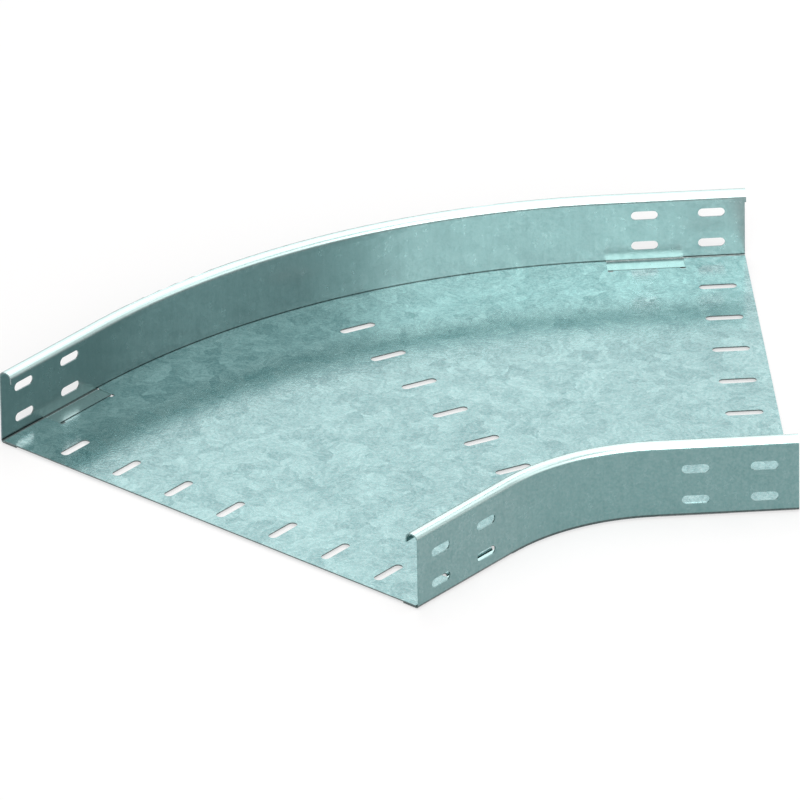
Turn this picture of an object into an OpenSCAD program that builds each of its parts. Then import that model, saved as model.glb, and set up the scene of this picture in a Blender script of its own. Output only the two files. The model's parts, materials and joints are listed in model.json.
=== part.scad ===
// Flat bend of a cable tray, folded from galvanised sheet steel.
// A slotted floor plate lies on the flanges of two side rails, and lanced tabs of the plate hold those flanges from below.

/* [Bend] */
// Angle through which the run turns, in degrees
bend_angle = 45; // [20:1:90]
// Radius of the inner rail's face on the cable side
inner_radius = 150; // [80:5:600]
// Straight run at each end, from the curve to the open end
end_length = 105; // [105:1:300]

/* [Section] */
// Width over the outer faces of the two rails
tray_width = 400; // [200:10:600]
// Height from the resting plane to the crown of the lips
tray_height = 60; // [54:1:150]
// Thickness of the sheet
sheet = 1; // [0.7:0.05:1.5]
// Inside radius of the fold between a rail's wall and its flange
fold_r = 1.5; // [0.5:0.1:3]
// Clearance between the edge of the floor plate and the fold of a rail
edge_clear = 0.3; // [0.1:0.1:2]

/* [Rolled lip] */
// Width of the lip over its outer faces
lip_width = 11.5; // [10.5:0.5:20]
// Drop of the lip's return below its crown
lip_drop = 8; // [6:0.5:12]
// Inside radius of the lip's two folds
lip_r = 4; // [1:0.1:4.2]

/* [Rail flange] */
// Width of the flange from the outer face of its rail
flange_width = 14.5; // [10:0.5:30]
// Length of the flange from the open end
flange_length = 100; // [60:1:105]

/* [Rail slots] */
// Width of a rail slot
rail_slot_w = 7; // [4:0.5:12]
// Length of a rail slot, end to end
rail_slot_l = 20; // [14:0.5:40]
// Distance from the open end to the first pair of slots
rail_slot_first = 25; // [15:1:40]
// Distance between the two pairs of slots
rail_slot_pitch = 50; // [45:1:55]
// Height of the lower row of slots above the floor plate
rail_slot_low = 11.5; // [8:0.25:15]
// Distance between the lower and the upper row of slots
rail_slot_rise = 25; // [14:0.5:28]

/* [Floor slots] */
// Width of a floor slot
floor_slot_w = 7; // [4:0.5:12]
// Length of a floor slot, end to end
floor_slot_l = 28; // [15:0.5:40]
// Distance between neighbouring slots across the tray
floor_slot_pitch = 50; // [25:1:100]
// Least distance from the middle of a slot to the outer face of a rail
floor_slot_margin = 40; // [30:1:60]
// Distance from the open end to its row of slots
floor_slot_first = 25; // [22:1:28]

/* [Lanced tabs] */
// Length of a tab along the run
tab_length = 50; // [20:1:50]
// Distance from the open end to the middle of a tab
tab_middle = 75; // [70:1:76]
// Width of the relief cut at each side of a tab
relief_w = 4; // [1:0.5:4]
// Depth of the relief cuts beyond the root of the tab
relief_depth = 1.25; // [0.25:0.25:4]
// Inside radius of the two folds of a tab's step
step_r = 0.75; // [0.6:0.05:2]
// Clearance between the edge of the flange and the step of a tab
tab_clear = 0.5; // [0.1:0.1:3]
// Distance from the outer face of a rail to the free edge of a tab
tab_setback = 3.5; // [2:0.25:8]

/* [Hidden] */
$fn = 96;

zinc_pale = [0.70, 0.84, 0.83];
zinc_grey = [0.50, 0.64, 0.64];

// Levels, up from the resting plane: tab, flange, floor plate
flange_z = sheet;
floor_z = flange_z + sheet;
floor_top = floor_z + sheet;

// Radii of the rails' outer faces and of the floor plate's two edges
inner_face = inner_radius - sheet;
outer_face = inner_face + tray_width;
plate_inset = sheet + fold_r + edge_clear;
plate_width = tray_width - 2 * plate_inset;

// Step of a tab: two opposite folds that drop the middle of the sheet by two thicknesses
step_mid_r = step_r + sheet / 2;
step_drop = 2 * sheet;
step_angle = acos(1 - step_drop / 2 / step_mid_r);
step_run = 2 * step_mid_r * sin(step_angle);

// Lanced tabs, measured from a rail's outer face
tab_foot = flange_width + tab_clear;
tab_root = tab_foot + step_run;
relief_end = tab_root + relief_depth;

// Floor slots across the tray, counted from its middle line
middle_r = inner_face + tray_width / 2;
slot_steps = floor((tray_width / 2 - floor_slot_margin) / floor_slot_pitch);

// Cutting tools run past the sheet by this much, and half a curve past its middle by this angle
overshoot = 5;
curve_overlap = 3;

// Flat facets in each fold of a tab's step
step_facets = 8;

// Middle of the bounding box, seen from the centre of the curve
left_x = -(outer_face * sin(bend_angle) + end_length * cos(bend_angle));
low_y = min(inner_face, inner_face * cos(bend_angle) - end_length * sin(bend_angle));
box_middle = [(end_length + left_x) / 2, (outer_face + low_y) / 2, 0];

// Moves the centre of the curve so that the box stands over the origin
module on_origin() {
    translate(-box_middle) children();
}

// Completes the right-hand half of the bend with its mirror image, joined in the plane that halves the curve
module both_halves() {
    reach = 2 * (outer_face + end_length);
    rotate([0, 0, bend_angle / 2])
        for (side = [0, 1])
            mirror([side, 0, 0]) intersection() {
                rotate([0, 0, -bend_angle / 2]) children();
                translate([0, -reach / 2, -reach / 2]) cube(reach);
            }
}

// Draws a section of radius and height along a straight stretch of the right-hand end
module along_end(from, to) {
    translate([from, 0, 0]) rotate([90, 0, 90]) linear_extrude(to - from) children();
}

// Draws a section of radius and height round the right-hand half of the curve, and a little past its middle
module round_curve() {
    rotate([0, 0, 90]) rotate_extrude(angle = bend_angle / 2 + curve_overlap, $fn = 360) children();
}

// Sets a section, drawn inwards from a rail's outer face, at the inner or the outer rail
module at_rail(outer) {
    translate([outer ? outer_face : inner_face, 0]) mirror([outer ? 1 : 0, 0]) children();
}

// Quarter of a folded sheet round the origin, in the quadrant that the two signs give
module quarter_fold(inside_r, x_sign, y_sign) {
    reach = inside_r + sheet;
    intersection() {
        difference() {
            circle(reach);
            circle(inside_r);
        }
        translate([x_sign < 0 ? -reach : 0, y_sign < 0 ? -reach : 0]) square(reach);
    }
}

// Round-ended slot, cut along X
module slot_outline(length, width) {
    straight = length - width;
    square([straight, width], center = true);
    for (side = [-1, 1]) translate([side * straight / 2, 0]) circle(width / 2);
}

// Section of a rail's wall and rolled lip, from the given height
module wall_section(bottom) {
    fold_z = tray_height - sheet - lip_r;
    near = sheet + lip_r;
    far = lip_width - sheet - lip_r;
    return_z = tray_height - lip_drop;
    translate([0, bottom]) square([sheet, fold_z - bottom]);
    translate([near, fold_z]) quarter_fold(lip_r, -1, 1);
    translate([near, tray_height - sheet]) square([far - near, sheet]);
    translate([far, fold_z]) quarter_fold(lip_r, 1, 1);
    translate([lip_width - sheet, return_z]) square([sheet, fold_z - return_z]);
}

// Section of a rail whose wall is folded into a flange under the floor plate
module flanged_section() {
    wall_section(floor_z + fold_r);
    translate([sheet + fold_r, floor_z + fold_r]) quarter_fold(fold_r, -1, -1);
    translate([sheet + fold_r, flange_z]) square([flange_width - sheet - fold_r, sheet]);
}

// Two rows of two slots through the wall of a rail, near its open end
module rail_slots(outer) {
    wall_r = outer ? outer_face - sheet : inner_face;
    for (across = [0, 1], up = [0, 1])
        translate([
            end_length - rail_slot_first - across * rail_slot_pitch,
            wall_r + sheet + overshoot,
            floor_top + rail_slot_low + up * rail_slot_rise
        ])
            rotate([90, 0, 0]) linear_extrude(sheet + 2 * overshoot) slot_outline(rail_slot_l, rail_slot_w);
}

// One side rail, rolled lip inwards
module side_rail(outer) {
    flange_start = end_length - flange_length;
    on_origin() both_halves() difference() {
        union() {
            round_curve() at_rail(outer) wall_section(floor_z);
            along_end(0, flange_start) at_rail(outer) wall_section(floor_z);
            along_end(flange_start, end_length) at_rail(outer) flanged_section();
        }
        rail_slots(outer);
    }
}

// Points of an arc round a centre, from one angle to another
function arc_points(centre, r, from, to) =
    [for (i = [0 : step_facets]) let (a = from + (to - from) * i / step_facets) centre + r * [cos(a), sin(a)]];

// Section of a tab: its root in the floor plate, the rounded step, and the foot under the flange
module tab_section() {
    upper = [tab_root, floor_z + sheet / 2 - step_mid_r];
    lower = [tab_foot, sheet / 2 + step_mid_r];
    outside_r = step_r + sheet;
    polygon(concat(
        [[tab_setback, 0]],
        arc_points(lower, outside_r, 270, 270 + step_angle),
        arc_points(upper, step_r, 90 + step_angle, 90),
        [[relief_end, floor_z], [relief_end, floor_top]],
        arc_points(upper, outside_r, 90, 90 + step_angle),
        arc_points(lower, step_r, 270 + step_angle, 270),
        [[tab_setback, sheet]]
    ));
}

// Opening in the edge of the floor plate round one tab
module tab_window_section() {
    translate([0, floor_z - overshoot]) square([relief_end, sheet + 2 * overshoot]);
}

// Row of floor slots across the tray, each along the run, at a place along X
module floor_slot_row(x) {
    for (step = [-slot_steps : slot_steps])
        translate([x, middle_r + step * floor_slot_pitch, floor_z - overshoot])
            linear_extrude(sheet + 2 * overshoot) slot_outline(floor_slot_l, floor_slot_w);
}

// Section of the floor plate
module plate_section() {
    translate([inner_face + plate_inset, floor_z]) square([plate_width, sheet]);
}

// Slotted bottom sheet with four lanced tabs
module floor_plate() {
    tab_start = end_length - tab_middle - tab_length / 2;
    tab_end = tab_start + tab_length;
    color(zinc_pale) on_origin() difference() {
        both_halves() {
            difference() {
                union() {
                    round_curve() plate_section();
                    along_end(0, end_length) plate_section();
                }
                for (outer = [false, true])
                    along_end(tab_start - relief_w, tab_end + relief_w) at_rail(outer) tab_window_section();
                floor_slot_row(end_length - floor_slot_first);
            }
            for (outer = [false, true])
                along_end(tab_start, tab_end) at_rail(outer) tab_section();
        }
        rotate([0, 0, bend_angle / 2]) floor_slot_row(0);
    }
}

// Rail on the outside of the bend
module outer_side_rail() {
    color(zinc_grey) side_rail(true);
}

// Rail on the inside of the bend
module inner_side_rail() {
    color(zinc_grey) side_rail(false);
}

floor_plate();
outer_side_rail();
inner_side_rail();
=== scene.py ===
"""Looks of a flat cable tray bend: galvanised sheet finishes, ground, studio light and camera."""

import json
import logging
import math
from collections.abc import Callable
from dataclasses import dataclass, replace
from enum import Enum
from functools import cached_property

import bpy
from mathutils import Matrix, Vector

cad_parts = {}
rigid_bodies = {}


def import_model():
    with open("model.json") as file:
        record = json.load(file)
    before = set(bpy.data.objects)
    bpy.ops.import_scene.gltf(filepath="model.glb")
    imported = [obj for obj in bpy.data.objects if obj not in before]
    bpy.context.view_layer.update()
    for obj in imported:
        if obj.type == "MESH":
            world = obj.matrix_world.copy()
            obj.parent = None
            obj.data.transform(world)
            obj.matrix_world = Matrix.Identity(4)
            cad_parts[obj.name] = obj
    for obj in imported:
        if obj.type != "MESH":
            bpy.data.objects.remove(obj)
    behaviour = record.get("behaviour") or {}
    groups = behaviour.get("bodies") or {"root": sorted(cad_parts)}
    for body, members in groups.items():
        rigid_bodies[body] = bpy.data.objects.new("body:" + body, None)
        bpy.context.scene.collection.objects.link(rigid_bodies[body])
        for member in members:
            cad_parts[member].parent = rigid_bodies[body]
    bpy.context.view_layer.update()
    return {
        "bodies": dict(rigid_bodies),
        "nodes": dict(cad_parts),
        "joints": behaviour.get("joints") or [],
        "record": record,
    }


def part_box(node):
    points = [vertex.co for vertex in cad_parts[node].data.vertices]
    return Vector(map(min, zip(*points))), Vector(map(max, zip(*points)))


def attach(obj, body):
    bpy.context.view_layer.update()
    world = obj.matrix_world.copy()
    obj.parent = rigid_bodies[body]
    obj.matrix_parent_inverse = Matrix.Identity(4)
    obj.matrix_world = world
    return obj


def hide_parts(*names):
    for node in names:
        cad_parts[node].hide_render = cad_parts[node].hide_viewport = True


LOG = logging.getLogger("cable_tray_bend")
BODY = "root"

# Distances in metres and angles in degrees that find and smooth the corners of a sheet
MERGE_DISTANCE = 0.000001
PICK_DISTANCE = 0.00005
PICK_ANGLE = 0.1
SMOOTH_ANGLE = 30.0

# Least cosines between a facet and the direction that it stands for
FOLD_COSINE = 0.05
FACE_COSINE = 0.95
UP = Vector((0.0, 0.0, 1.0))

# Crystals: how their outlines drift, and how their feathers stretch, in units of one crystal
DRIFT_COUNT = 1.4
DRIFT_DETAIL = 3.0
MIDDLE_GREY = (0.5, 0.5, 0.5)
FEATHER_COUNTS = (1.1, 4.5, 2.2)
FEATHER_DETAIL = 4.0
FEATHER_RANGE = (0.36, 0.68)

# Fine texture: share of its finer features, and the middle ranges of values that carry a change
FINE_ROUGHNESS = 0.6
FINE_DETAIL = 2.0
TONE_RANGE = (0.2, 0.8)
GRAIN_RANGE = (0.35, 0.65)
FULL_RANGE = (0.0, 1.0)

# Ground and camera
GROUND_ROUGHNESS = 0.9
SIGHT_LIMIT = 100.0

Colour = tuple[float, float, float]
Place = tuple[float, float, float]


class Slot(Enum):
    """Material slots of the record, listed with the sheets."""

    FLOOR = "floor_zinc"
    RAIL = "rail_zinc"


class SheetNode(Enum):
    """Solids of the bend's folded sheets."""

    FLOOR = "floor_plate"
    OUTER_RAIL = "outer_side_rail"
    INNER_RAIL = "inner_side_rail"


class GroupSockets(Enum):
    """Kinds of socket that the finishes' node groups have."""

    VECTOR = "NodeSocketVector"
    VALUE = "NodeSocketFloat"


class NodeCanvas:
    """Short calls that add nodes to one node tree and join them."""

    def __init__(self, tree: bpy.types.NodeTree) -> None:
        """Keeps the tree.

        Args:
            tree: Node tree that the nodes go into.
        """
        self.tree = tree

    def add(self, kind: str, **settings: object) -> bpy.types.Node:
        """Adds a node and sets its own properties.

        Args:
            kind: Blender's name of the node.
            settings: Properties of the node, by name.

        Returns:
            The new node.
        """
        node = self.tree.nodes.new(kind)
        for name, value in settings.items():
            setattr(node, name, value)
        return node

    def feed(self, source: bpy.types.NodeSocket | float | Colour, target: bpy.types.NodeSocket) -> None:
        """Joins an output to an input, or sets the input to a constant.

        Args:
            source: Output socket, number or vector.
            target: Input socket.
        """
        if isinstance(source, bpy.types.NodeSocket):
            self.tree.links.new(source, target)
        else:
            target.default_value = source

    def math(self, operation: str, *values: bpy.types.NodeSocket | float) -> bpy.types.NodeSocket:
        """Adds a Math node.

        Args:
            operation: Blender's name of the operation.
            values: Sockets or numbers for its inputs, in order.

        Returns:
            The result's socket.
        """
        node = self.add("ShaderNodeMath", operation=operation)
        for value, target in zip(values, node.inputs):
            self.feed(value, target)
        return node.outputs[0]

    def vector_math(self, operation: str, *values: bpy.types.NodeSocket | Colour) -> bpy.types.NodeSocket:
        """Adds a Vector Math node.

        Args:
            operation: Blender's name of the operation.
            values: Sockets or vectors for its inputs, in order.

        Returns:
            The resulting vector's socket.
        """
        node = self.add("ShaderNodeVectorMath", operation=operation)
        for value, target in zip(values, node.inputs):
            self.feed(value, target)
        return node.outputs["Vector"]

    def scaled(
        self, vector: bpy.types.NodeSocket, factor: bpy.types.NodeSocket | float
    ) -> bpy.types.NodeSocket:
        """Scales a vector by one factor.

        Args:
            vector: Vector to scale.
            factor: Socket or number.

        Returns:
            The scaled vector's socket.
        """
        node = self.add("ShaderNodeVectorMath", operation="SCALE")
        self.feed(vector, node.inputs["Vector"])
        self.feed(factor, node.inputs["Scale"])
        return node.outputs["Vector"]

    def upright(self, vector: bpy.types.NodeSocket) -> bpy.types.NodeSocket:
        """Returns the socket of a vector's upright part."""
        node = self.add("ShaderNodeSeparateXYZ")
        self.feed(vector, node.inputs["Vector"])
        return node.outputs["Z"]

    def noise(
        self, vector: bpy.types.NodeSocket, scale: float, detail: float, roughness: float = 0.5
    ) -> bpy.types.Node:
        """Adds a Noise Texture read at a vector.

        Args:
            vector: Place to read it at.
            scale: Number of features in a unit of the vector.
            detail: Octaves of finer features.
            roughness: Share of the finer features.

        Returns:
            The texture node.
        """
        node = self.add("ShaderNodeTexNoise")
        self.feed(vector, node.inputs["Vector"])
        self.feed(scale, node.inputs["Scale"])
        self.feed(detail, node.inputs["Detail"])
        self.feed(roughness, node.inputs["Roughness"])
        return node

    def mix(
        self,
        factor: bpy.types.NodeSocket,
        first: bpy.types.NodeSocket | Colour,
        second: bpy.types.NodeSocket | Colour,
    ) -> bpy.types.NodeSocket:
        """Mixes two colours.

        Args:
            factor: Share of the second colour.
            first: Socket or colour.
            second: Socket or colour.

        Returns:
            The mixed colour's socket.
        """
        node = self.add("ShaderNodeMix", data_type="RGBA")
        self.feed(factor, node.inputs["Factor"])
        for colour, target in ((first, node.inputs["A"]), (second, node.inputs["B"])):
            self.feed(colour if isinstance(colour, bpy.types.NodeSocket) else (*colour, 1.0), target)
        return node.outputs["Result"]

    def remap(
        self,
        value: bpy.types.NodeSocket,
        from_range: tuple[float, float],
        to_range: tuple[float, float],
    ) -> bpy.types.NodeSocket:
        """Maps one range of values onto another, smoothly and clamped.

        Args:
            value: Value to map.
            from_range: Lowest and highest value that come in.
            to_range: Values that go out for them.

        Returns:
            The mapped value's socket.
        """
        node = self.add("ShaderNodeMapRange", interpolation_type="SMOOTHSTEP")
        self.feed(value, node.inputs["Value"])
        for name, number in zip(("From Min", "From Max", "To Min", "To Max"), (*from_range, *to_range)):
            node.inputs[name].default_value = number
        return node.outputs["Result"]


def new_group(
    name: str, inputs: dict[str, GroupSockets], outputs: dict[str, GroupSockets]
) -> bpy.types.NodeTree:
    """Makes an empty shader node group with named sockets.

    Args:
        name: Name of the group.
        inputs: Kind of each input, by name.
        outputs: Kind of each output, by name.

    Returns:
        The group's tree.
    """
    tree = bpy.data.node_groups.new(name, "ShaderNodeTree")
    for in_out, sockets in (("INPUT", inputs), ("OUTPUT", outputs)):
        for socket_name, kind in sockets.items():
            tree.interface.new_socket(socket_name, in_out=in_out, socket_type=kind.value)
    return tree


@dataclass
class ZincGroups:
    """Node groups that every galvanised finish shares."""

    crystals: bpy.types.NodeTree
    grain: bpy.types.NodeTree

    @classmethod
    def build(cls) -> "ZincGroups":
        """Builds the groups once and returns them."""
        return cls(crystals=cls.build_crystals(), grain=cls.build_grain())

    @staticmethod
    def build_crystals() -> bpy.types.NodeTree:
        """Builds the spangle: frosted zinc crystals with feathers that run another way in each.

        Returns:
            Group from a place and a crystal's size to a crystal's tone and its feathers.
        """
        tree = new_group(
            "zinc_crystals",
            {"Place": GroupSockets.VECTOR, "Crystal Size": GroupSockets.VALUE, "Warp": GroupSockets.VALUE},
            {"Tone": GroupSockets.VALUE, "Feathers": GroupSockets.VALUE},
        )
        canvas = NodeCanvas(tree)
        given = canvas.add("NodeGroupInput").outputs
        result = canvas.add("NodeGroupOutput").inputs
        counted = canvas.scaled(given["Place"], canvas.math("DIVIDE", 1.0, given["Crystal Size"]))
        wander = canvas.noise(counted, DRIFT_COUNT, DRIFT_DETAIL)
        drift = canvas.vector_math("SUBTRACT", wander.outputs["Color"], MIDDLE_GREY)
        warped = canvas.vector_math("ADD", counted, canvas.scaled(drift, given["Warp"]))
        cells = canvas.add("ShaderNodeTexVoronoi", feature="F1")
        canvas.feed(warped, cells.inputs["Vector"])
        canvas.feed(1.0, cells.inputs["Scale"])
        chance = canvas.add("ShaderNodeSeparateColor")
        canvas.feed(cells.outputs["Color"], chance.inputs["Color"])
        turned = canvas.add("ShaderNodeVectorRotate", rotation_type="Z_AXIS")
        canvas.feed(warped, turned.inputs["Vector"])
        canvas.feed(canvas.math("MULTIPLY", chance.outputs["Green"], math.pi), turned.inputs["Angle"])
        stretched = canvas.vector_math("MULTIPLY", turned.outputs["Vector"], FEATHER_COUNTS)
        feathers = canvas.noise(stretched, 1.0, FEATHER_DETAIL, FINE_ROUGHNESS)
        canvas.feed(chance.outputs["Red"], result["Tone"])
        canvas.feed(canvas.remap(feathers.outputs["Fac"], FEATHER_RANGE, FULL_RANGE), result["Feathers"])
        return tree

    @staticmethod
    def build_grain() -> bpy.types.NodeTree:
        """Builds the fine grain of the zinc skin.

        Returns:
            Group from a place and a grain's size to a value round one half.
        """
        tree = new_group(
            "zinc_grain",
            {"Place": GroupSockets.VECTOR, "Grain Size": GroupSockets.VALUE},
            {"Grain": GroupSockets.VALUE},
        )
        canvas = NodeCanvas(tree)
        given = canvas.add("NodeGroupInput").outputs
        result = canvas.add("NodeGroupOutput").inputs
        counted = canvas.scaled(given["Place"], canvas.math("DIVIDE", 1.0, given["Grain Size"]))
        canvas.feed(canvas.noise(counted, 1.0, FINE_DETAIL, FINE_ROUGHNESS).outputs["Fac"], result["Grain"])
        return tree


@dataclass(frozen=True)
class ZincFinish:
    """A galvanised finish: its tones, its crystals and its gloss. Sizes are in metres."""

    name: str
    dark: Colour
    pale: Colour
    crystal_size: float
    crystal_warp: float
    crystal_share: float
    feather_share: float
    grain_size: float
    grain_share: float
    metallic: float
    roughness: tuple[float, float]
    coat: tuple[float, float]
    coat_roughness: float
    coat_ior: float
    crystal_relief: float
    grain_relief: float

    def material(self, groups: ZincGroups) -> bpy.types.Material:
        """Makes the finish's material.

        Args:
            groups: Node groups of the zinc.

        Returns:
            The material.
        """
        material = bpy.data.materials.new(self.name)
        material.use_nodes = True
        canvas = NodeCanvas(material.node_tree)
        shader = material.node_tree.nodes["Principled BSDF"]
        shader.inputs["Metallic"].default_value = self.metallic
        shader.inputs["Coat Roughness"].default_value = self.coat_roughness
        shader.inputs["Coat IOR"].default_value = self.coat_ior
        coordinates = canvas.add("ShaderNodeTexCoord").outputs
        place = coordinates["Object"]
        crystals = self.place_group(
            canvas, groups.crystals, place, {"Crystal Size": self.crystal_size, "Warp": self.crystal_warp}
        )
        grain = self.place_group(canvas, groups.grain, place, {"Grain Size": self.grain_size})
        shares = {
            crystals.outputs["Tone"]: self.crystal_share,
            crystals.outputs["Feathers"]: self.feather_share,
            grain.outputs["Grain"]: self.grain_share,
        }
        shares.update(self.own_shares(canvas, place))
        tone = self.weighted(canvas, shares)
        canvas.feed(self.base_colour(canvas, coordinates, tone), shader.inputs["Base Color"])
        coat = canvas.remap(grain.outputs["Grain"], GRAIN_RANGE, self.coat)
        canvas.feed(canvas.remap(tone, TONE_RANGE, self.roughness), shader.inputs["Roughness"])
        canvas.feed(coat, shader.inputs["Coat Weight"])
        height = canvas.math(
            "ADD",
            canvas.math("MULTIPLY", crystals.outputs["Feathers"], self.crystal_relief),
            canvas.math("MULTIPLY", grain.outputs["Grain"], self.grain_relief),
        )
        bump = canvas.add("ShaderNodeBump")
        bump.inputs["Strength"].default_value = 1.0
        bump.inputs["Distance"].default_value = 1.0
        canvas.feed(height, bump.inputs["Height"])
        canvas.feed(bump.outputs["Normal"], shader.inputs["Normal"])
        return material

    def own_shares(
        self, canvas: NodeCanvas, place: bpy.types.NodeSocket
    ) -> dict[bpy.types.NodeSocket, float]:
        """Adds what only this finish has to the tone.

        Args:
            canvas: Canvas of the material.
            place: Coordinates on the sheet.

        Returns:
            Share of each further value.
        """
        return {}

    def base_colour(
        self, canvas: NodeCanvas, coordinates: bpy.types.NodeOutputs, tone: bpy.types.NodeSocket
    ) -> bpy.types.NodeSocket:
        """Colours the zinc by its tone.

        Args:
            canvas: Canvas of the material.
            coordinates: Outputs of the sheet's Texture Coordinate node.
            tone: Value from the darkest to the palest zinc.

        Returns:
            The colour's socket.
        """
        return canvas.mix(tone, self.dark, self.pale)

    @staticmethod
    def place_group(
        canvas: NodeCanvas, tree: bpy.types.NodeTree, place: bpy.types.NodeSocket, values: dict[str, float]
    ) -> bpy.types.Node:
        """Puts a node group into the material.

        Args:
            canvas: Canvas of the material.
            tree: The group.
            place: Coordinates that it reads.
            values: Values of its other inputs, by name.

        Returns:
            The group's node.
        """
        node = canvas.add("ShaderNodeGroup", node_tree=tree)
        canvas.feed(place, node.inputs["Place"])
        for name, value in values.items():
            node.inputs[name].default_value = value
        return node

    @staticmethod
    def weighted(canvas: NodeCanvas, shares: dict[bpy.types.NodeSocket, float]) -> bpy.types.NodeSocket:
        """Adds up values by their shares.

        Args:
            canvas: Canvas of the material.
            shares: Share of each value.

        Returns:
            The sum's socket.
        """
        total: bpy.types.NodeSocket | float = 0.0
        for value, share in shares.items():
            total = canvas.math("MULTIPLY_ADD", value, share, total)
        return total


@dataclass(frozen=True)
class FloorFinish(ZincFinish):
    """Zinc of the floor plate, with near-black upright faces: bare steel on the sheared edges of the sheet
    and its slots, and painted shade on the steep steps of the tabs.
    """

    # Near-black colour of upright faces: cut steel on the sheared edges, painted shade on the steep tab
    # steps
    cut: Colour
    cut_and_shade_slope: tuple[float, float]

    def base_colour(
        self, canvas: NodeCanvas, coordinates: bpy.types.NodeOutputs, tone: bpy.types.NodeSocket
    ) -> bpy.types.NodeSocket:
        """Colours the flat zinc by its tone, and the upright faces near-black: cut steel on sheared edges,
        painted shade on the steep tab steps.

        Args:
            canvas: Canvas of the material.
            coordinates: Outputs of the sheet's Texture Coordinate node.
            tone: Value from the darkest to the palest zinc.

        Returns:
            The colour's socket.
        """
        rise = canvas.math("ABSOLUTE", canvas.upright(coordinates["Normal"]))
        # Steep faces turn near-black: cut steel on sheared edges, painted shade on the steps of the tabs
        edge = canvas.remap(rise, self.cut_and_shade_slope, (1.0, 0.0))
        return canvas.mix(edge, super().base_colour(canvas, coordinates, tone), self.cut)


@dataclass(frozen=True)
class RailFinish(ZincFinish):
    """Zinc of a side rail.

    It has faint upright streaks, a painted highlight on the upward faces of the lip's crown, painted light
    on the upward faces of the flange, and painted shade in the hollow of the lip and along the foot of the
    wall.
    A pair of heights is the start and the end of a change.
    """

    # Colour of the painted highlight on the upward faces of the lip's crown
    crown_highlight: Colour
    # Colour of the painted light on the upward faces of the flange
    flange_painted_light: Colour
    # Colour of the painted shade in the hollow under the lip and along the foot of the wall
    painted_shade: Colour
    streak_width: float
    streak_height: float
    streak_share: float
    flange_height: tuple[float, float]
    foot_height: tuple[float, float]
    lip_height: tuple[float, float]
    slope: tuple[float, float]

    def own_shares(
        self, canvas: NodeCanvas, place: bpy.types.NodeSocket
    ) -> dict[bpy.types.NodeSocket, float]:
        """Adds the upright streaks to the tone.

        Args:
            canvas: Canvas of the material.
            place: Coordinates on the sheet.

        Returns:
            Share of the streaks.
        """
        counts = (1.0 / self.streak_width, 1.0 / self.streak_width, 1.0 / self.streak_height)
        streaks = canvas.noise(canvas.vector_math("MULTIPLY", place, counts), 1.0, FINE_DETAIL)
        return {streaks.outputs["Fac"]: self.streak_share}

    def base_colour(
        self, canvas: NodeCanvas, coordinates: bpy.types.NodeOutputs, tone: bpy.types.NodeSocket
    ) -> bpy.types.NodeSocket:
        """Colours the zinc by its tone and its height on the rail, with a painted highlight on the lip's
        crown, painted light on the flange and painted shade in the lip's hollow and at the wall's foot.

        Args:
            canvas: Canvas of the material.
            coordinates: Outputs of the sheet's Texture Coordinate node.
            tone: Value from the darkest to the palest zinc.

        Returns:
            The colour's socket.
        """
        height = canvas.upright(coordinates["Object"])
        rise = canvas.upright(coordinates["Normal"])
        facing_up = canvas.remap(rise, self.slope, FULL_RANGE)
        facing_down = canvas.remap(canvas.math("MULTIPLY", rise, -1.0), self.slope, FULL_RANGE)
        flange = canvas.remap(height, self.flange_height, (1.0, 0.0))
        foot = canvas.remap(height, self.foot_height, (1.0, 0.0))
        lip = canvas.remap(height, self.lip_height, FULL_RANGE)
        hollow = canvas.math("MULTIPLY", lip, facing_down)
        # Painted shade on the downward faces of the lip and along the foot of the wall
        shaded_zinc = canvas.mix(
            canvas.math("MAXIMUM", foot, hollow), super().base_colour(canvas, coordinates, tone), self.painted_shade
        )
        # Painted light on the upward faces of the flange
        flange_lit_zinc = canvas.mix(canvas.math("MULTIPLY", flange, facing_up), shaded_zinc, self.flange_painted_light)
        # Painted highlight on the upward faces of the lip's crown
        return canvas.mix(canvas.math("MULTIPLY", lip, facing_up), flange_lit_zinc, self.crown_highlight)


@dataclass(frozen=True)
class BendPlan:
    """Plan and section of the bend, in metres and degrees."""

    inner_radius: float
    width: float
    height: float
    sheet: float
    lip_width: float
    lip_radius: float
    flange_top: float
    bend_angle: float
    end_length: float
    flange_length: float
    fold_radius: float
    edge_clear: float
    relief_width: float

    @cached_property
    def centre(self) -> Vector:
        """Centre of the curve, found once from the outer rail's straight end."""
        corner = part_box(SheetNode.OUTER_RAIL.value)[1]
        return Vector((corner[0] - self.end_length, corner[1] - self.outer_face, 0.0))

    @property
    def inner_face(self) -> float:
        """Radius of the inner rail's outer face."""
        return self.inner_radius - self.sheet

    @property
    def outer_face(self) -> float:
        """Radius of the outer rail's outer face."""
        return self.inner_face + self.width

    def runs(self) -> tuple[Vector, Vector]:
        """Returns the directions in which the two ends leave the curve."""
        turn = math.radians(self.bend_angle)
        return Vector((1.0, 0.0, 0.0)), Vector((-math.cos(turn), -math.sin(turn), 0.0))

    def angle_of(self, place: Vector) -> float:
        """Returns a place's angle round the curve, from its straight end, in degrees."""
        offset = place - self.centre
        return math.degrees(math.atan2(-offset.x, offset.y))

    def outward(self, place: Vector) -> Vector:
        """Returns the level direction that leads straight across the run to the outer rail at a place."""
        turn = math.radians(min(max(self.angle_of(place), 0.0), self.bend_angle))
        return Vector((-math.sin(turn), math.cos(turn), 0.0))


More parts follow.
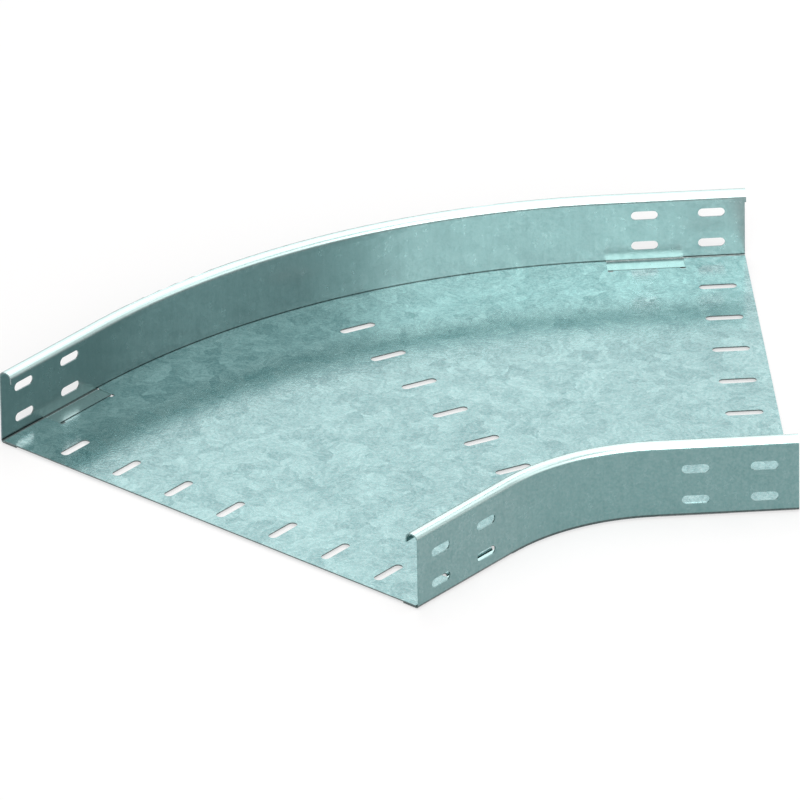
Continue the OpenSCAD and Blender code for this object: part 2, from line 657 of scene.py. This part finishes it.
@dataclass(frozen=True)
class Fold:
    """Quarter fold of a rail, seen in section from the rail's outer face inwards, in metres."""

    inset: float
    height: float
    inside_radius: float
    sheet: float
    inset_sign: float
    height_sign: float

    def holds(self, across: float, rise: float) -> bool:
        """Says whether a point of the section is on one of the fold's two faces.

        Args:
            across: Distance inwards from the fold's centre.
            rise: Height above the fold's centre.

        Returns:
            True on the inside or the outside of the fold.
        """
        beside = across * self.inset_sign > -PICK_DISTANCE and rise * self.height_sign > -PICK_DISTANCE
        depth = math.hypot(across, rise) - self.inside_radius
        return beside and min(abs(depth), abs(depth - self.sheet)) < PICK_DISTANCE


@dataclass(frozen=True)
class FoldedSheet:
    """One folded sheet of the bend: a copy of its solid with finer edges, and the finish that it wears."""

    name: str
    node: SheetNode
    slot: Slot
    finish: ZincFinish
    plan: BendPlan

    def build(self, frame: dict, groups: ZincGroups) -> bpy.types.Object:
        """Models and dresses the sheet.

        Args:
            frame: The loaded frame.
            groups: Node groups of the zinc.

        Returns:
            The sheet's object.
        """
        solid = frame["nodes"][self.node.value]
        sheet = bpy.data.objects.new(self.name, solid.data.copy())
        bpy.context.scene.collection.objects.link(sheet)
        bpy.ops.object.select_all(action="DESELECT")
        sheet.select_set(True)
        bpy.context.view_layer.objects.active = sheet
        bpy.ops.mesh.customdata_custom_splitnormals_clear()
        bpy.ops.object.mode_set(mode="EDIT")
        bpy.ops.mesh.select_all(action="SELECT")
        bpy.ops.mesh.remove_doubles(threshold=MERGE_DISTANCE)
        bpy.ops.object.mode_set(mode="OBJECT")
        self.reshape(sheet)
        bpy.ops.object.shade_smooth_by_angle(angle=math.radians(SMOOTH_ANGLE), keep_sharp_edges=False)
        self.smooth(sheet)
        sheet.data.materials.clear()
        sheet.data.materials.append(self.finish.material(groups))
        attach(sheet, BODY)
        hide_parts(self.node.value)
        return sheet

    def reshape(self, sheet: bpy.types.Object) -> None:
        """Shifts the edges that differ from the solid's.

        Args:
            sheet: The copy, selected and active.
        """

    def smooth(self, sheet: bpy.types.Object) -> None:
        """Lets the large facets lead the shading of the small ones.

        Args:
            sheet: The copy, selected and active.
        """
        bpy.ops.object.modifier_add(type="WEIGHTED_NORMAL")
        sheet.modifiers[-1].keep_sharp = True
        bpy.ops.object.modifier_apply(modifier=sheet.modifiers[-1].name)

    @staticmethod
    def pick(sheet: bpy.types.Object, chosen: Callable[[Vector], bool]) -> None:
        """Selects corners by their place and leaves the sheet in edit mode.

        Args:
            sheet: The sheet's object.
            chosen: Says whether a place is picked.
        """
        bpy.ops.object.mode_set(mode="EDIT")
        bpy.ops.mesh.select_mode(type="VERT")
        bpy.ops.mesh.select_all(action="DESELECT")
        bpy.ops.object.mode_set(mode="OBJECT")
        for corner in sheet.data.vertices:
            corner.select = chosen(corner.co)
        LOG.info("%s: %d corners shifted", sheet.name, sum(corner.select for corner in sheet.data.vertices))
        bpy.ops.object.mode_set(mode="EDIT")


@dataclass(frozen=True)
class FloorSheet(FoldedSheet):
    """Floor plate, whose curved edges reach close to the walls of the rails."""

    def reshape(self, sheet: bpy.types.Object) -> None:
        """Widens the plate round the curve, where no fold of a rail is in its way.

        Args:
            sheet: The copy, selected and active.
        """
        plan = self.plan
        centre = plan.centre
        inset = plan.sheet + plan.fold_radius + plan.edge_clear
        for edge, side in ((plan.inner_face + inset, -1.0), (plan.outer_face - inset, 1.0)):

            def on_edge(place: Vector) -> bool:
                """Says whether a place is on this edge, inside the curve."""
                on_radius = abs((place - centre).xy.length - edge) < PICK_DISTANCE
                return on_radius and -PICK_ANGLE < plan.angle_of(place) < plan.bend_angle + PICK_ANGLE

            self.pick(sheet, on_edge)
            growth = 1.0 + side * plan.fold_radius / edge
            bpy.ops.transform.resize(value=(growth, growth, 1.0), center_override=centre)
            bpy.ops.object.mode_set(mode="OBJECT")


@dataclass(frozen=True)
class RailSheet(FoldedSheet):
    """Side rail, whose flanges reach under the whole window of a tab.

    Its outer face has a radius, and the way inwards from there leads to a larger radius or to a smaller one.
    """

    face_radius: float
    inward_sign: float

    def folds(self) -> tuple[Fold, ...]:
        """Returns the two folds of the rolled lip and the fold of the flange."""
        plan = self.plan
        lip_height = plan.height - plan.sheet - plan.lip_radius
        lip_inset = plan.sheet + plan.lip_radius
        flange_inset = plan.sheet + plan.fold_radius
        flange_height = plan.flange_top + plan.fold_radius
        return (
            Fold(
                inset=lip_inset,
                height=lip_height,
                inside_radius=plan.lip_radius,
                sheet=plan.sheet,
                inset_sign=-1.0,
                height_sign=1.0,
            ),
            Fold(
                inset=plan.lip_width - lip_inset,
                height=lip_height,
                inside_radius=plan.lip_radius,
                sheet=plan.sheet,
                inset_sign=1.0,
                height_sign=1.0,
            ),
            Fold(
                inset=flange_inset,
                height=flange_height,
                inside_radius=plan.fold_radius,
                sheet=plan.sheet,
                inset_sign=-1.0,
                height_sign=-1.0,
            ),
        )

    def smooth(self, sheet: bpy.types.Object) -> None:
        """Gives walls and folds the exact directions of their surface, and leaves cut edges as they are.

        Args:
            sheet: The copy, selected and active.
        """
        mesh = sheet.data
        folds = self.folds()
        directions = []
        for facet in mesh.polygons:
            for corner in facet.vertices:
                directions.append(self.direction_at(mesh.vertices[corner].co, facet.normal, folds))
        mesh.normals_split_custom_set(directions)

    def direction_at(self, place: Vector, facing: Vector, folds: tuple[Fold, ...]) -> Vector:
        """Finds the direction that the rail's surface faces at one corner of a facet.

        Args:
            place: The corner.
            facing: Direction that the facet faces.
            folds: Folds of the rail.

        Returns:
            The surface's direction, or the facet's own on a cut edge.
        """
        outward = self.plan.outward(place)
        inward = outward * self.inward_sign
        inset = ((place - self.plan.centre).dot(outward) - self.face_radius) * self.inward_sign
        for fold in folds:
            across = inset - fold.inset
            rise = place.z - fold.height
            along = (inward * across + UP * rise).normalized()
            if fold.holds(across, rise) and abs(along.dot(facing)) > FOLD_COSINE:
                return along if along.dot(facing) > 0.0 else -along
        for along in (inward, UP):
            if abs(along.dot(facing)) > FACE_COSINE:
                return along if along.dot(facing) > 0.0 else -along
        return facing

    def reshape(self, sheet: bpy.types.Object) -> None:
        """Lengthens the flanges by the width of a relief cut.

        Args:
            sheet: The copy, selected and active.
        """
        plan = self.plan
        centre = plan.centre
        flange_end = plan.end_length - plan.flange_length
        fold_top = plan.flange_top + plan.fold_radius
        for run in plan.runs():

            def on_flange_end(place: Vector) -> bool:
                """Says whether a place is on the end of the flange or its fold."""
                return abs((place - centre).dot(run) - flange_end) < PICK_DISTANCE and place.z < fold_top

            self.pick(sheet, on_flange_end)
            bpy.ops.transform.translate(value=run * -plan.relief_width)
            bpy.ops.object.mode_set(mode="OBJECT")


@dataclass(frozen=True)
class Ground:
    """Plain pale ground that the bend lies on.

    Its glow makes it white and leaves the bend's soft shadow on it.
    """

    size: float
    colour: Colour
    glow: float

    def build(self) -> bpy.types.Object:
        """Lays the ground at the resting plane and returns it."""
        bpy.ops.object.select_all(action="DESELECT")
        bpy.ops.mesh.primitive_plane_add(size=self.size, location=(0.0, 0.0, 0.0))
        ground = bpy.context.active_object
        ground.name = "ground"
        material = bpy.data.materials.new("pale_ground")
        material.use_nodes = True
        shader = material.node_tree.nodes["Principled BSDF"]
        shader.inputs["Base Color"].default_value = (*self.colour, 1.0)
        shader.inputs["Roughness"].default_value = GROUND_ROUGHNESS
        shader.inputs["Specular IOR Level"].default_value = 0.0
        canvas = NodeCanvas(material.node_tree)
        ray = canvas.add("ShaderNodeLightPath").outputs
        shown = canvas.math("MAXIMUM", ray["Is Camera Ray"], ray["Is Glossy Ray"])
        shown = canvas.math("MAXIMUM", shown, ray["Is Transmission Ray"])
        shader.inputs["Emission Color"].default_value = (1.0, 1.0, 1.0, 1.0)
        canvas.feed(canvas.math("MULTIPLY", shown, self.glow), shader.inputs["Emission Strength"])
        ground.data.materials.append(material)
        return ground


@dataclass(frozen=True)
class Softbox:
    """A soft lamp, in metres and degrees.

    With no tilt it faces straight down, and a tilt of 90 degrees faces it to the back.
    Its glow is the brightness of its surface, where 1 is white.
    """

    name: str
    place: Place
    tilt: float
    turn: float
    width: float
    depth: float
    glow: float
    colour: Colour = (1.0, 1.0, 1.0)

    def build(self) -> bpy.types.Object:
        """Hangs the lamp and returns it."""
        data = bpy.data.lights.new(self.name, "AREA")
        data.shape = "RECTANGLE"
        data.size = self.width
        data.size_y = self.depth
        data.energy = self.glow * math.pi * self.width * self.depth
        data.color = self.colour
        lamp = bpy.data.objects.new(self.name, data)
        bpy.context.scene.collection.objects.link(lamp)
        lamp.location = self.place
        lamp.rotation_euler = (math.radians(self.tilt), 0.0, math.radians(self.turn))
        return lamp


@dataclass(frozen=True)
class Studio:
    """Softboxes and the even light of the room."""

    softboxes: tuple[Softbox, ...]
    room_colour: Colour
    room_strength: float

    def build(self) -> None:
        """Lights the room."""
        scene = bpy.context.scene
        scene.world = bpy.data.worlds.new("room")
        scene.world.use_nodes = True
        background = scene.world.node_tree.nodes["Background"]
        background.inputs["Color"].default_value = (*self.room_colour, 1.0)
        background.inputs["Strength"].default_value = self.room_strength
        for softbox in self.softboxes:
            softbox.build()
        scene.view_settings.view_transform = "Standard"


@dataclass(frozen=True)
class ViewCamera:
    """Long-lens camera in front of the bend, in metres and degrees."""

    place: Place
    heading: float
    dip: float
    roll: float
    lens: float
    sensor: float

    def build(self) -> bpy.types.Object:
        """Sets up the camera and makes it the scene's.

        Returns:
            The camera.
        """
        data = bpy.data.cameras.new("view_camera")
        data.lens = self.lens
        data.sensor_width = self.sensor
        data.clip_end = SIGHT_LIMIT
        camera = bpy.data.objects.new("view_camera", data)
        bpy.context.scene.collection.objects.link(camera)
        turn = (
            Matrix.Rotation(-math.radians(self.heading), 4, "Z")
            @ Matrix.Rotation(math.radians(90.0 - self.dip), 4, "X")
            @ Matrix.Rotation(math.radians(self.roll), 4, "Z")
        )
        camera.matrix_world = Matrix.Translation(self.place) @ turn
        bpy.context.scene.camera = camera
        return camera


FLOOR_FINISH = FloorFinish(
    name="spangled_zinc",
    # near-black upright faces: cut steel on the edges, painted shade on the tab steps
    cut=(0.05, 0.09, 0.09),
    cut_and_shade_slope=(0.35, 0.60),
    metallic=0.68,
    dark=(0.075, 0.235, 0.245),
    pale=(0.330, 0.575, 0.575),
    crystal_size=0.014,
    crystal_warp=0.9,
    crystal_share=0.38,
    feather_share=0.42,
    grain_size=0.0018,
    grain_share=0.20,
    roughness=(0.22, 0.14),
    coat=(0.5, 1.0),
    coat_roughness=0.14,
    coat_ior=2.0,
    crystal_relief=0.00001,
    grain_relief=0.00016,
)
OUTER_RAIL_FINISH = RailFinish(
    name="outer_rail_zinc",
    dark=(0.120, 0.200, 0.203),
    pale=(0.270, 0.350, 0.350),
    # painted highlight on the lip's crown
    crown_highlight=(0.60, 0.80, 0.78),
    # painted light on the flange's top
    flange_painted_light=(0.47, 0.70, 0.69),
    # painted shade in the lip's hollow and at the wall's foot
    painted_shade=(0.03, 0.06, 0.06),
    streak_width=0.004,
    streak_height=0.035,
    streak_share=0.35,
    flange_height=(0.00205, 0.0023),
    foot_height=(0.0033, 0.0041),
    lip_height=(0.0530, 0.0555),
    slope=(0.2, 0.55),
    metallic=1.0,
    crystal_size=0.010,
    crystal_warp=0.3,
    crystal_share=0.12,
    feather_share=0.08,
    grain_size=0.0018,
    grain_share=0.40,
    roughness=(0.32, 0.26),
    coat=(0.5, 1.0),
    coat_roughness=0.18,
    coat_ior=1.8,
    crystal_relief=0.0,
    grain_relief=0.000015,
)
# The inner rail wears the outer rail's zinc with darker tones: painted shade for the darker reflections on
# its outward face
INNER_RAIL_FINISH = replace(
    OUTER_RAIL_FINISH,
    name="inner_rail_zinc_painted_shade",
    dark=(0.09, 0.22, 0.22),
    pale=(0.20, 0.36, 0.36),
)
PLAN = BendPlan(
    inner_radius=0.150,
    width=0.400,
    height=0.060,
    sheet=0.001,
    lip_width=0.0115,
    lip_radius=0.004,
    flange_top=0.002,
    bend_angle=45.0,
    end_length=0.105,
    flange_length=0.100,
    fold_radius=0.0015,
    edge_clear=0.0003,
    relief_width=0.004,
)
SHEETS = (
    FloorSheet("spangled_floor", SheetNode.FLOOR, Slot.FLOOR, FLOOR_FINISH, PLAN),
    RailSheet("outer_rail", SheetNode.OUTER_RAIL, Slot.RAIL, OUTER_RAIL_FINISH, PLAN, PLAN.outer_face, -1.0),
    RailSheet("inner_rail", SheetNode.INNER_RAIL, Slot.RAIL, INNER_RAIL_FINISH, PLAN, PLAN.inner_face, 1.0),
)
GROUND = Ground(size=40.0, colour=(0.28, 0.28, 0.28), glow=0.60)
STUDIO = Studio(
    softboxes=(
        Softbox(
            name="overhead_softbox",
            place=(0.15, 0.1, 1.7),
            tilt=0.0,
            turn=0.0,
            width=1.0,
            depth=4.0,
            glow=2.2,
        ),
        Softbox(
            name="back_softbox",
            place=(0.2, 2.8, 1.5),
            tilt=-62.0,
            turn=0.0,
            width=4.0,
            depth=1.2,
            glow=0.80,
        ),
        Softbox(
            name="front_softbox",
            place=(1.1, -10.5, 5.6),
            tilt=62.0,
            turn=6.0,
            width=14.0,
            depth=8.0,
            glow=4.4,
            colour=(1.0, 0.94, 0.92),
        ),
        Softbox(
            name="side_softbox",
            place=(8.6, -4.6, 5.2),
            tilt=62.0,
            turn=62.0,
            width=9.0,
            depth=6.0,
            glow=0.9,
        ),
        Softbox(
            name="lip_softbox",
            place=(5.9, 2.1, 7.8),
            tilt=38.0,
            turn=110.0,
            width=6.0,
            depth=5.0,
            glow=1.0,
        ),
    ),
    room_colour=(1.0, 1.0, 1.0),
    room_strength=0.45,
)
CAMERA = ViewCamera(
    place=(-0.65363, -9.42742, 5.06881),
    heading=4.0041,
    dip=28.0553,
    roll=-0.9397,
    lens=662.45,
    sensor=36.0,
)


def main() -> None:
    """Loads the frame, dresses the sheets, and sets up ground, light and camera."""
    logging.basicConfig(level=logging.INFO, format="%(message)s")
    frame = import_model()
    groups = ZincGroups.build()
    for sheet in SHEETS:
        piece = sheet.build(frame, groups)
        LOG.info("%s wears %s", piece.name, sheet.finish.name)
    ground = GROUND.build()
    LOG.info("%s lies at the resting plane", ground.name)
    STUDIO.build()
    camera = CAMERA.build()
    LOG.info("%s has a lens of %.0f mm", camera.name, CAMERA.lens)


if __name__ == "__main__":
    main()
